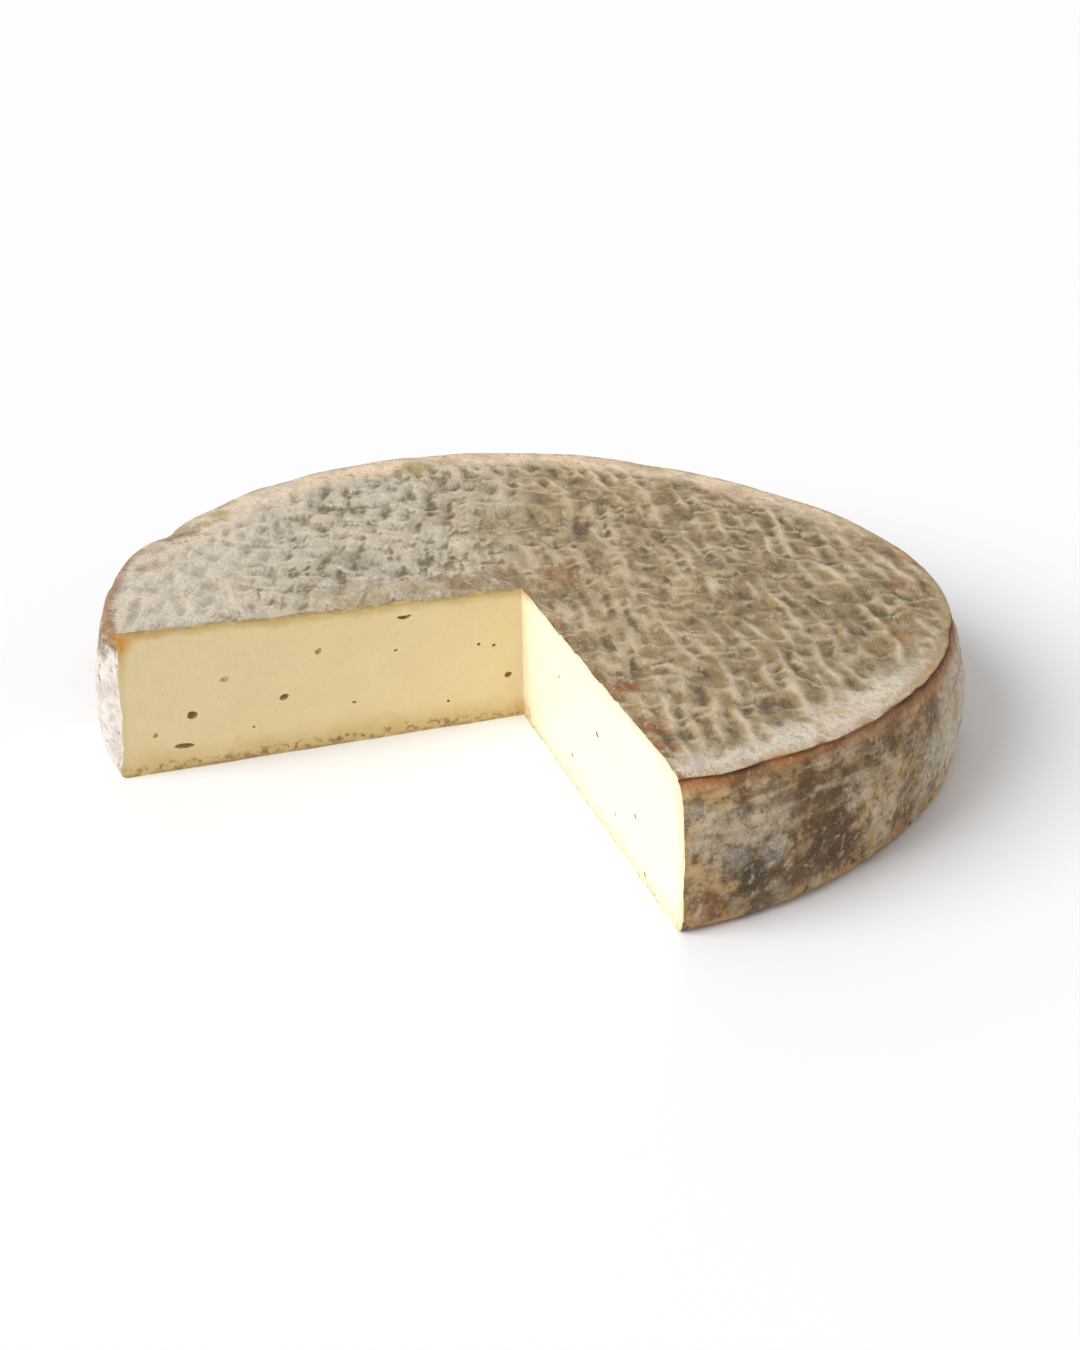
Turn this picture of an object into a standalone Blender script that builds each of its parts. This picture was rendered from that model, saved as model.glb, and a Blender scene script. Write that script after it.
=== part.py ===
# Saint-nectaire cheese: a flat wheel, a little out of round and taller on one side, with one
# piece cut out of it. It is a single solid. The relief is that of the real rind: marks of the
# straw mats on the top, a thin lip round the top edge, dents in the side, and the small holes
# that the knife opened in the paste.
# Metres, +Z up. The wheel lies on z = 0 and its open side faces -Y.

import math
import random

import bpy
import bmesh
from mathutils import Matrix, Vector, noise

# Driving dimensions of the wheel
WHEEL_RADIUS = 0.110  # at the fullest part of the side
WHEEL_HEIGHT = 0.0376  # at the middle
LIP_RADIUS = 0.953 * WHEEL_RADIUS
FOOT_RADIUS = 0.977 * WHEEL_RADIUS
BULGE_HEIGHT = 0.45 * WHEEL_HEIGHT  # where the side is fullest
SHOULDER_RADIUS = 0.80 * WHEEL_RADIUS  # outside it the top falls gently to the lip
SHOULDER_DROP = 0.0010
LIP_THICKNESS = 0.0022
LIP_OVERHANG = 0.0012
LIP_SECTION = (  # (shares of the overhang outwards, of the thickness down), round the lip's edge
    (0.40, 0.35),
    (0.00, 0.75),
    (-0.60, 1.00),
)
GROOVE_DROP = 1.6 * LIP_THICKNESS  # the plain side starts this far under the lip's top
LIP_BREAK_SIZE = 0.017  # the groove under the lip closes and opens over this length
LIP_CLOSED, LIP_CLOSED_SWING = 0.5, 0.9  # how far it is closed, and how much that changes
FOOT_ROUNDING = 0.0020

# The wheel isn't a true cylinder: its outline follows slow waves, and its top leans
OUTLINE_WAVES = (  # (waves in a full turn, share of the radius, angle of a crest)
    (2, 0.022, math.radians(-22.6)),
    (3, 0.0055, math.radians(-33.5)),
    (4, 0.011, math.radians(6.5)),
)
TOP_LEAN_X = -0.0269
TOP_LEAN_Y = -0.0335

# The cut: two knife faces that meet near the axis
CUT_APEX = Vector((-0.0020, 0.0004))
LEFT_FACE_ANGLE = math.radians(196.0)
RIGHT_FACE_ANGLE = math.radians(288.35)
CUT_REACH = 0.30  # longer than the wheel is wide
CUT_MARGIN = 0.01

# The side is pressed flat where the left face ends
PINCH_WIDTH = math.radians(9)
PINCH_DEPTH = 0.0050
PINCH_BELLY = 0.7  # below 1 it is as deep over most of the height, and ends sooner at top and foot

# Relief of the rind
STRAW_PITCH = 0.0056
STRAW_DEPTH = 0.00045
STRAW_TURN = math.radians(-8)  # of the straws from the Y axis
STRAW_FADE = 0.010  # the marks die out this far inside the shoulder
STRAW_DRIFT, STRAW_DRIFT_SIZE = 3.2, 0.034  # how far, in radians, and how slowly they wander
STRAW_BREAK_SIZE = 0.014  # they come and go over this length
STRAW_BREAK_STRETCH = 0.6  # and over more than that along the straws
STRAW_LEVEL, STRAW_LEVEL_SWING = 0.5, 0.9  # their usual strength, and how much it changes
STRAW_SEED = 0.37
SWELL_SIZE, SWELL_DEPTH = 0.026, 0.00055  # broad waves of the top
DENT_SIZE, DENT_DEPTH = 0.013, 0.00070  # dents of the side
SMALL_DENT = (0.4, 0.5)  # the smaller dents among them, as shares of that size and depth
DENT_STRETCH = 0.7  # the dents are longer up and down than round the wheel

# Holes in the paste: (distance from the apex, height, width, height of the mouth)
LEFT_HOLES = (
    (0.0887, 0.0151, 0.0024, 0.0017),
    (0.0920, 0.0067, 0.0046, 0.0012),
    (0.0636, 0.0163, 0.0023, 0.0017),
    (0.0312, 0.0347, 0.0038, 0.0011),
    (0.0046, 0.0128, 0.0018, 0.0018),
)
RIGHT_HOLES = (
    (0.0383, 0.0084, 0.0018, 0.0014),
    (0.0560, 0.0235, 0.0020, 0.0015),
    (0.0810, 0.0150, 0.0023, 0.0014),
)
HOLE_DEPTH = 0.0014
HOLE_TILT = 0.2  # at most, in radians
HOLE_LUMPS = (0.85, 1.1)  # the hole's wall lies between these shares of its radius
HOLE_SEED = 4

# Fineness: the wheel is shaped on a fine mesh, then thinned to what the relief needs
TURN_STEPS = 380
TOP_RINGS = 54
SHOULDER_RINGS = 10
SIDE_RINGS = 18
FOOT_RINGS = 3
BASE_RINGS = (0.93, 0.6, 0.3, 0.0)  # shares of the foot's radius
MERGE_DISTANCE = 0.00001
TRIANGLES = 9800

RIND_COLOUR, RIND_ROUGHNESS = (0.36, 0.29, 0.20, 1.0), 0.85
PASTE_COLOUR, PASTE_ROUGHNESS = (0.86, 0.76, 0.52, 1.0), 0.55


def clear_scene():
    for obj in list(bpy.data.objects):
        bpy.data.objects.remove(obj)


def collection(name):
    made = bpy.data.collections.new(name)
    bpy.context.scene.collection.children.link(made)
    return made


def material(name, colour, roughness):
    made = bpy.data.materials.new(name)
    made.use_nodes = True
    shader = made.node_tree.nodes["Principled BSDF"]
    shader.inputs["Base Color"].default_value = colour
    shader.inputs["Roughness"].default_value = roughness
    shader.inputs["Metallic"].default_value = 0.0
    return made


def smooth(low, high, value):
    """0 below low, 1 above high, and an S curve between them."""
    t = min(1.0, max(0.0, (value - low) / (high - low)))
    return t * t * (3 - 2 * t)


def side_radius(height):
    """The side bulges as two half parabolas that meet at its fullest part."""
    if height > BULGE_HEIGHT:
        share = (height - BULGE_HEIGHT) / (WHEEL_HEIGHT - BULGE_HEIGHT)
        return WHEEL_RADIUS - (WHEEL_RADIUS - LIP_RADIUS) * share**2
    share = (BULGE_HEIGHT - height) / BULGE_HEIGHT
    return WHEEL_RADIUS - (WHEEL_RADIUS - FOOT_RADIUS) * share**2


def half_section():
    """(radius, height) from the middle of the top, round the edge, to the middle of the base."""
    points = [(SHOULDER_RADIUS * i / TOP_RINGS, WHEEL_HEIGHT) for i in range(TOP_RINGS + 1)]
    for i in range(1, SHOULDER_RINGS + 1):
        share = i / SHOULDER_RINGS
        radius = SHOULDER_RADIUS + (LIP_RADIUS - SHOULDER_RADIUS) * share
        points.append((radius, WHEEL_HEIGHT - SHOULDER_DROP * share**2))
    lip_top = WHEEL_HEIGHT - SHOULDER_DROP
    for out, down in LIP_SECTION:
        points.append((LIP_RADIUS + out * LIP_OVERHANG, lip_top - down * LIP_THICKNESS))
    side_top = lip_top - GROOVE_DROP
    for i in range(SIDE_RINGS + 1):
        height = side_top + (FOOT_ROUNDING - side_top) * i / SIDE_RINGS
        points.append((side_radius(height), height))
    foot = side_radius(FOOT_ROUNDING)
    for i in range(1, FOOT_RINGS + 1):
        turn = math.pi / 2 * i / FOOT_RINGS
        inward, up = FOOT_ROUNDING * (1 - math.cos(turn)), FOOT_ROUNDING * (1 - math.sin(turn))
        points.append((foot - inward, up))
    points += [(foot * share, 0.0) for share in BASE_RINGS]
    return points


def turned_wheel():
    """The half section turned once round the axis, as a closed mesh object."""
    mesh = bpy.data.meshes.new("half_section")
    points = half_section()
    edges = [(i, i + 1) for i in range(len(points) - 1)]
    mesh.from_pydata([(radius, 0, height) for radius, height in points], edges, [])
    wheel = bpy.data.objects.new("cheese_wheel", mesh)
    screw = wheel.modifiers.new("Turn", "SCREW")
    screw.axis = "Z"
    screw.steps = screw.render_steps = TURN_STEPS
    screw.use_merge_vertices = True
    screw.merge_threshold = MERGE_DISTANCE
    return wheel


def out_of_round(angle):
    return 1 + sum(share * math.cos(n * (angle - crest)) for n, share, crest in OUTLINE_WAVES)


def pinch(angle, height):
    """How far the side is pressed in near the end of the left face."""
    away = (angle % math.tau - LEFT_FACE_ANGLE) / PINCH_WIDTH
    belly = math.sin(math.pi * min(1.0, max(0.0, height / WHEEL_HEIGHT))) ** PINCH_BELLY
    return PINCH_DEPTH * math.exp(-(away**2)) * belly


def straw_marks(x, y):
    """Furrows that the mat's straws left, each a little different and none quite straight."""
    across = x * math.cos(STRAW_TURN) + y * math.sin(STRAW_TURN)
    along = y * math.cos(STRAW_TURN) - x * math.sin(STRAW_TURN)
    drift = noise.noise(Vector((across, along, STRAW_SEED)) / STRAW_DRIFT_SIZE)
    phase = math.tau * across / STRAW_PITCH + STRAW_DRIFT * drift
    place = Vector((across, STRAW_BREAK_STRETCH * along, STRAW_SEED)) / STRAW_BREAK_SIZE
    strength = STRAW_LEVEL + STRAW_LEVEL_SWING * noise.noise(place)
    return STRAW_DEPTH * max(0.0, strength) * math.cos(phase)


def side_dents(x, y, z):
    """Broad dents and smaller ones among them, none at the foot, which lies flat."""
    size, depth = SMALL_DENT
    broad = noise.noise(Vector((x, y, DENT_STRETCH * z)) / DENT_SIZE)
    small = noise.noise(Vector((x, y, z)) / (size * DENT_SIZE))
    return DENT_DEPTH * (broad + depth * small) * smooth(FOOT_ROUNDING, 3 * FOOT_ROUNDING, z)


def relief(x, y, z):
    """(outward, upward) shift of a point of the turned wheel."""
    radius = math.hypot(x, y)
    outward = upward = 0.0
    if radius < LIP_RADIUS and z > WHEEL_HEIGHT - SHOULDER_DROP:
        fade = 1 - smooth(SHOULDER_RADIUS - STRAW_FADE, SHOULDER_RADIUS + STRAW_FADE, radius)
        upward = straw_marks(x, y) * fade
        upward += SWELL_DEPTH * noise.noise(Vector((x, y, 0.0)) / SWELL_SIZE)
    if LIP_RADIUS - LIP_OVERHANG < radius < LIP_RADIUS and z < WHEEL_HEIGHT - LIP_THICKNESS:
        closed = LIP_CLOSED + LIP_CLOSED_SWING * noise.noise(Vector((x, y, 0.0)) / LIP_BREAK_SIZE)
        outward += LIP_OVERHANG * min(1.0, max(0.0, closed))
    if radius > LIP_RADIUS - LIP_OVERHANG and z > FOOT_ROUNDING:
        outward += side_dents(x, y, z)
    return outward, upward


def make_uneven(wheel):
    """Replaces the perfect turned shape by the real one: out of round, leaning and dented."""
    inside, edge = LIP_RADIUS - 0.1 * WHEEL_RADIUS, LIP_RADIUS
    graph = bpy.context.evaluated_depsgraph_get()
    mesh = bpy.data.meshes.new_from_object(wheel.evaluated_get(graph))
    wheel.modifiers.clear()
    wheel.data = mesh
    for vertex in mesh.vertices:
        x, y, z = vertex.co
        angle = math.atan2(y, x)
        outward, upward = relief(x, y, z)
        on_side = smooth(inside, edge, math.hypot(x, y))
        outward -= pinch(angle, z) * on_side
        radius = math.hypot(x, y) * out_of_round(angle) + outward
        x, y = radius * math.cos(angle), radius * math.sin(angle)
        lean = 1 + (TOP_LEAN_X * x + TOP_LEAN_Y * y) / WHEEL_HEIGHT
        vertex.co = (x, y, z * lean + upward)


def missing_piece():
    """The cutter: a prism as wide as the piece that was cut out and taken away."""
    reach = [
        CUT_APEX + CUT_REACH * Vector((math.cos(a), math.sin(a)))
        for a in (LEFT_FACE_ANGLE, RIGHT_FACE_ANGLE)
    ]
    build = bmesh.new()
    base = build.faces.new([build.verts.new((*p, -CUT_MARGIN)) for p in (CUT_APEX, *reach)])
    top = bmesh.ops.extrude_face_region(build, geom=[base])
    bmesh.ops.translate(
        build,
        verts=[v for v in top["geom"] if isinstance(v, bmesh.types.BMVert)],
        vec=(0, 0, 2 * WHEEL_HEIGHT + CUT_MARGIN),
    )
    bmesh.ops.recalc_face_normals(build, faces=build.faces)
    mesh = bpy.data.meshes.new("missing_piece")
    build.to_mesh(mesh)
    build.free()
    return bpy.data.objects.new("missing_piece", mesh)


def paste_holes():
    """The cutter for the holes: one small lumpy ball for each, half sunk in its knife face."""
    build = bmesh.new()
    shake = random.Random(HOLE_SEED)
    for angle, holes in ((LEFT_FACE_ANGLE, LEFT_HOLES), (RIGHT_FACE_ANGLE, RIGHT_HOLES)):
        along = Vector((math.cos(angle), math.sin(angle), 0))
        for distance, height, width, mouth in holes:
            place = Matrix.Translation(Vector((*CUT_APEX, height)) + along * distance)
            tilt = Matrix.Rotation(shake.uniform(-HOLE_TILT, HOLE_TILT), 4, "Y")
            size = Matrix.Diagonal((width / 2, HOLE_DEPTH, mouth / 2, 1))
            shape = place @ Matrix.Rotation(angle, 4, "Z") @ tilt @ size
            ball = bmesh.ops.create_icosphere(build, subdivisions=2, radius=1, matrix=shape)
            centre = place.translation
            for vertex in ball["verts"]:
                vertex.co = centre + (vertex.co - centre) * shake.uniform(*HOLE_LUMPS)
    mesh = bpy.data.meshes.new("paste_holes")
    build.to_mesh(mesh)
    build.free()
    return bpy.data.objects.new("paste_holes", mesh)


def cut(wheel, cutter):
    cutter.hide_render = True
    cutter.display_type = "WIRE"
    boolean = wheel.modifiers.new("Cut " + cutter.name, "BOOLEAN")
    boolean.operation = "DIFFERENCE"
    boolean.solver = "EXACT"
    boolean.object = cutter


def thin_out(wheel):
    """Keeps triangles where the relief needs them and drops them where the surface is plain."""
    graph = bpy.context.evaluated_depsgraph_get()
    shown = wheel.evaluated_get(graph).to_mesh()
    shown.calc_loop_triangles()
    share = TRIANGLES / len(shown.loop_triangles)
    wheel.evaluated_get(graph).to_mesh_clear()
    thinner = wheel.modifiers.new("Thin out", "DECIMATE")
    thinner.decimate_type = "COLLAPSE"
    thinner.use_collapse_triangulate = True
    thinner.ratio = share


def centre_over_origin(axis, wheel):
    """Moves the wheel's axis so that the middle of what is left of the wheel is over the origin."""
    bpy.context.view_layer.update()
    graph = bpy.context.evaluated_depsgraph_get()
    corners = [Vector(corner) for corner in wheel.evaluated_get(graph).bound_box]
    low, high = corners[0], corners[6]
    axis.location = (-(low.x + high.x) / 2, -(low.y + high.y) / 2, 0)


def main():
    clear_scene()
    cheese = collection("saint_nectaire_cheese")
    cutters = collection("cutters")
    axis = bpy.data.objects.new("wheel_axis", None)
    cheese.objects.link(axis)
    wheel = turned_wheel()
    wheel.parent = axis
    cheese.objects.link(wheel)
    bpy.context.view_layer.update()
    make_uneven(wheel)
    wheel.data.materials.append(material("rind", RIND_COLOUR, RIND_ROUGHNESS))
    paste = material("paste", PASTE_COLOUR, PASTE_ROUGHNESS)
    for cutter in (missing_piece(), paste_holes()):
        cutters.objects.link(cutter)
        cutter.parent = axis
        cutter.data.materials.append(paste)
        cut(wheel, cutter)
    bpy.context.view_layer.update()
    thin_out(wheel)
    centre_over_origin(axis, wheel)


main()
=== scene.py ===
import math

import bpy
from mathutils import Matrix, Vector


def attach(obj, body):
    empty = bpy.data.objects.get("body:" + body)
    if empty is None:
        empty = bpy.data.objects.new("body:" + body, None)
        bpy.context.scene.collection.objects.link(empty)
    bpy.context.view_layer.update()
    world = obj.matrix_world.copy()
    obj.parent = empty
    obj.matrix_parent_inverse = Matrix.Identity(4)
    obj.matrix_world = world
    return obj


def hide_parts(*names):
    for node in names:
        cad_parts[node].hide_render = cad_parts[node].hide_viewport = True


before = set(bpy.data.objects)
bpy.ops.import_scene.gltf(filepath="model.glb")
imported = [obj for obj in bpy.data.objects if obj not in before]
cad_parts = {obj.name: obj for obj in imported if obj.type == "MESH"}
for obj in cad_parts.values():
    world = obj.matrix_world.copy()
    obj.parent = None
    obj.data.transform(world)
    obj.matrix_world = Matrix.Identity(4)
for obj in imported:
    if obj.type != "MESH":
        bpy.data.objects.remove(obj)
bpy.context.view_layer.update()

# The form of the whole wheel, in metres and radians, about its own axis
wheel = {
    "axisX": 0.0001, "axisY": -0.0028,      # where the axis stands in the frame
    "radius": 0.1092, "height": 0.0373,     # at the fullest part of the side, and at the middle
    "lipRadius": 0.1047, "footRadius": 0.1078,
    "bulgeHeight": 0.0169,
    "shoulder": 0.80, "shoulderDrop": 0.0003,  # the top falls off outside this share of the radius
    "footRounding": 0.0030,
    "leanX": -0.0269, "leanY": -0.0335,     # how much the top rises per metre
    "apexX": -0.0020, "apexY": 0.0004,      # where the two knife faces meet
    "leftFace": math.radians(196.0), "rightFace": math.radians(-71.65),
    "pinchWidth": math.radians(3.6), "pinchDepth": 0.0052,  # the side is pressed in at the left face
    "lipEdge": 0.0005,                      # rounding of the top edge
    "smear": 0.0005,                        # how uneven the knife left its faces
    "lipOut": 0.0003,                       # the lip stands this far out
    "grooveDrop": 0.0008, "grooveDepth": 0.0009, "grooveWidth": 0.00045,
}
outlineWaves = (                            # waves round the wheel, height as a share, angle of a crest
    (2, 0.022, math.radians(-22.6)), (3, 0.0055, math.radians(-33.5)), (4, 0.011, math.radians(6.5)),
)
outlineDents = (                            # where it bulges or is dented: angle, spread, height as a share
    (math.radians(131), math.radians(19), 0.013), (math.radians(168), math.radians(8), 0.014),
    (math.radians(159.5), math.radians(2.8), -0.017), (math.radians(186), math.radians(8), 0.005),
)

# The print of the straw mat on the top, and the swells under it
mat = {
    "turn": math.radians(10), "pitch": 0.0051, "ridge": 0.00052, "crossPitch": 0.0062, "cross": 0.00022,
    "pit": 0.00055, "swell": 0.0011, "crumb": 0.00022,
}

# The crust of the side
crust = {"dent": 0.0012, "lump": 0.0006, "crack": 0.00035, "grain": 0.00012, "skin": 0.0011}


# One value in a node tree: plain arithmetic on it adds Math nodes, so that a rule reads as a formula
class Field:
    def __init__(self, sheet, socket):
        self.sheet = sheet
        self.socket = socket

    def __add__(self, other):
        return self.sheet.math("ADD", self, other)

    def __radd__(self, other):
        return self.sheet.math("ADD", other, self)

    def __sub__(self, other):
        return self.sheet.math("SUBTRACT", self, other)

    def __rsub__(self, other):
        return self.sheet.math("SUBTRACT", other, self)

    def __mul__(self, other):
        return self.sheet.math("MULTIPLY", self, other)

    def __rmul__(self, other):
        return self.sheet.math("MULTIPLY", other, self)

    def __truediv__(self, other):
        return self.sheet.math("DIVIDE", self, other)

    def __rtruediv__(self, other):
        return self.sheet.math("DIVIDE", other, self)

    def __pow__(self, other):
        return self.sheet.math("POWER", self, other)

    def __neg__(self):
        return self.sheet.math("MULTIPLY", self, -1.0)


# A node tree to write on, for geometry and for materials alike
class Sheet:
    def __init__(self, tree):
        self.tree = tree

    def node(self, kind, **settings):
        made = self.tree.nodes.new(kind)
        for name, value in settings.items():
            setattr(made, name, value)
        return made

    def feed(self, socket, value):
        if isinstance(value, Field):
            self.tree.links.new(value.socket, socket)
        else:
            socket.default_value = value

    def use(self, node, output=0, **values):
        for name, value in values.items():
            self.feed(node.inputs[name.replace("_", " ")], value)
        return Field(self, node.outputs[output])

    def math(self, operation, *values, clamp=False):
        node = self.node("ShaderNodeMath", operation=operation, use_clamp=clamp)
        for socket, value in zip(node.inputs, values):
            self.feed(socket, value)
        return Field(self, node.outputs[0])

    def least(self, a, b):
        return self.math("MINIMUM", a, b)

    def most(self, a, b):
        return self.math("MAXIMUM", a, b)

    def cos(self, a):
        return self.math("COSINE", a)

    def sin(self, a):
        return self.math("SINE", a)

    def root(self, a):
        return self.math("SQRT", a)

    def place(self, x, y, z):
        node = self.node("ShaderNodeCombineXYZ")
        for socket, value in zip(node.inputs, (x, y, z)):
            self.feed(socket, value)
        return Field(self, node.outputs[0])

    def split(self, vector):
        node = self.node("ShaderNodeSeparateXYZ")
        self.feed(node.inputs[0], vector)
        return [Field(self, socket) for socket in node.outputs]

    # About -1 to 1, and mostly within half of that; size is that of its patches in metres
    def noise(self, x, y, z, size, detail=1.0, rough=0.5, seed=0.0):
        node = self.node("ShaderNodeTexNoise")
        spot = self.place(x, y, z)
        if seed:
            shift = self.node("ShaderNodeVectorMath", operation="ADD")
            self.feed(shift.inputs[0], spot)
            shift.inputs[1].default_value = (seed, 1.7 * seed, 0.6 * seed)
            spot = Field(self, shift.outputs[0])
        value = self.use(node, Vector=spot, Scale=1 / size, Detail=detail, Roughness=rough)
        return value * 2.0 - 1.0

    # 0 at low, 1 at high, an S curve between; low may be the larger one
    def ease(self, value, low, high):
        node = self.node("ShaderNodeMapRange", interpolation_type="SMOOTHSTEP")
        for name, given in (("Value", value), ("From Min", low), ("From Max", high)):
            self.feed(node.inputs[name], given)
        return Field(self, node.outputs[0])

    def mix(self, share, a, b):
        return a + (b - a) * share

    def tint(self, share, a, b, how="MIX"):
        node = self.node("ShaderNodeMix", data_type="RGBA", blend_type=how)
        for socket, value in zip((node.inputs[0], node.inputs[6], node.inputs[7]), (share, a, b)):
            self.feed(socket, value)
        return Field(self, node.outputs[2])


# A geometry tree whose inputs carry these names and values
def newTree(name, values, takesMesh=False):
    tree = bpy.data.node_groups.new(name, "GeometryNodeTree")
    tree.is_modifier = True
    tree.interface.new_socket("Geometry", in_out="OUTPUT", socket_type="NodeSocketGeometry")
    if takesMesh:
        tree.interface.new_socket("Geometry", in_out="INPUT", socket_type="NodeSocketGeometry")
    for key, value in values.items():
        kind = "NodeSocketFloat"
        if isinstance(value, int):
            kind = "NodeSocketInt"
        if isinstance(value, bpy.types.Material):
            kind = "NodeSocketMaterial"
        tree.interface.new_socket(key, in_out="INPUT", socket_type=kind).default_value = value
    sheet = Sheet(tree)
    start = sheet.node("NodeGroupInput")
    return sheet, {socket.name: Field(sheet, socket) for socket in start.outputs if socket.name}


def finishTree(sheet, geometry):
    end = sheet.node("NodeGroupOutput")
    sheet.feed(end.inputs[0], geometry)


# The share by which the outline differs from a circle at this angle
def outOfRound(sheet, angle):
    share = 1.0
    for waves, height, crest in outlineWaves:
        share = sheet.cos((angle - crest) * waves) * height + share
    for middle, spread, height in outlineDents:
        off = (angle - middle) / spread
        share = sheet.math("EXPONENT", -(off * off)) * height + share
    return share


# The straw mat's print at x, y on the top: (ridges, ties across them, how hollow it is between), each
# about 0 to 1, and the last one below 0 where there is no hollow
def matPrint(sheet, x, y, m):
    across = x * math.cos(mat["turn"]) + y * math.sin(mat["turn"])
    along = y * math.cos(mat["turn"]) - x * math.sin(mat["turn"])
    right = sheet.ease(x, -0.025, 0.010)
    drift = sheet.noise(x, y, 0.0, 0.035, detail=1.0, seed=0.3)
    fray = sheet.noise(across, along * 0.5, 0.0, 0.0050, detail=2.0, seed=0.9)
    lane = across / m["pitch"] + drift * 1.3 + fray * 0.42
    straw = sheet.cos(lane * math.tau) * 0.5 + 0.5
    kept = sheet.noise(across, along * 0.4, 0.0, 0.008, detail=2.5, rough=0.6, seed=1.4)
    kept = sheet.ease(kept, -0.20, 0.28) * sheet.mix(right, 0.55, 1.0)
    step = along / m["crossPitch"] + sheet.noise(x, y, 0.0, 0.009, detail=1.0, seed=2.2) * 1.3
    step = step + sheet.math("FLOOR", lane) * 0.37
    tie = (sheet.cos(step * math.tau) * 0.5 + 0.5) ** 2.5
    patchy = sheet.ease(sheet.noise(x, y, 0.0, 0.007, detail=1.0, seed=3.1), -0.3, 0.3)
    fineStroke = sheet.noise(across * 1.5, along * 0.55, 0.0, 0.0046, detail=2.0, rough=0.5, seed=4.0)
    wideStroke = sheet.noise(x * 2.0, y * 0.66, 0.0, 0.0060, detail=1.8, rough=0.5, seed=4.6)
    stroke = sheet.mix(right, wideStroke * 1.4, fineStroke * 1.15)
    hollow = stroke - straw * kept * 0.50 - tie * patchy * 0.3 + 0.20
    return straw ** 1.5 * kept, tie * patchy, hollow


# The crust of the side at x, y, z: (broad dents, fine relief in metres, cracks), 0 to 1 but for the second
def crustRelief(sheet, x, y, z, c):
    broad = sheet.noise(x, y, z * 0.7, 0.015, detail=1.0, seed=5.2)
    small = sheet.noise(x, y, z, 0.0052, detail=2.0, rough=0.55, seed=6.1)
    fine = sheet.noise(x, y, z, 0.0016, detail=2.0, rough=0.6, seed=7.3)
    torn = sheet.math("ABSOLUTE", sheet.noise(x, y, z * 1.3, 0.0070, detail=3.0, rough=0.62, seed=8.8))
    cracks = sheet.ease(torn, 0.15, 0.0) * sheet.ease(broad, 0.25, -0.25)
    fold = sheet.math("ABSOLUTE", sheet.noise(x * 0.4, y * 0.4, z * 1.7, 0.0050, detail=2.0, seed=9.4))
    folds = sheet.ease(fold, 0.17, 0.0) * sheet.ease(z, 0.014, 0.028) * sheet.ease(x, 0.040, 0.065)
    cracks = sheet.most(cracks * 0.8, folds * 0.8)
    return broad, small * c["lump"] + fine * c["grain"] - cracks * c["crack"], cracks


# Height of the top at x, y, without the print: (as the section has it, with lean and swell)
def topHeight(sheet, x, y, reach, w):
    shoulder = sheet.most((reach - w["shoulder"]) / (1.0 - w["shoulder"]), 0.0)
    crown = w["height"] - shoulder * shoulder * w["shoulderDrop"]
    swell = sheet.noise(x, y, 0.0, 0.026, seed=13.0) * mat["swell"]
    lean = 1.0 + (w["leanX"] * x + w["leanY"] * y) / w["height"]
    return crown, lean, swell


# Radius of the side at this height, before it goes out of round
def sideRadius(sheet, z, w):
    above = sheet.most((z - w["bulgeHeight"]) / (w["height"] - w["bulgeHeight"]), 0.0)
    below = sheet.most((w["bulgeHeight"] - z) / w["bulgeHeight"], 0.0)
    radius = w["radius"] - above * above * (w["radius"] - w["lipRadius"])
    radius = radius - below * below * (w["radius"] - w["footRadius"])
    tuck = sheet.most(w["footRounding"] - z, 0.0) / w["footRounding"]
    return radius - w["footRounding"] * (1.0 - sheet.root(sheet.most(1.0 - tuck * tuck, 0.0)))


# How far below the lip the groove runs, and how open it is: it wanders and closes in places
def grooveAt(sheet, x, y):
    wander = sheet.noise(x, y, 0.0, 0.011, detail=2.0, seed=11.0) * 0.0009 + wheel["grooveDrop"]
    wander = sheet.most(wander, 0.0003)
    gaping = sheet.ease(sheet.noise(x, y, 0.0, 0.022, seed=12.5), -0.5, 0.2)
    return wander, gaping


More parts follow.
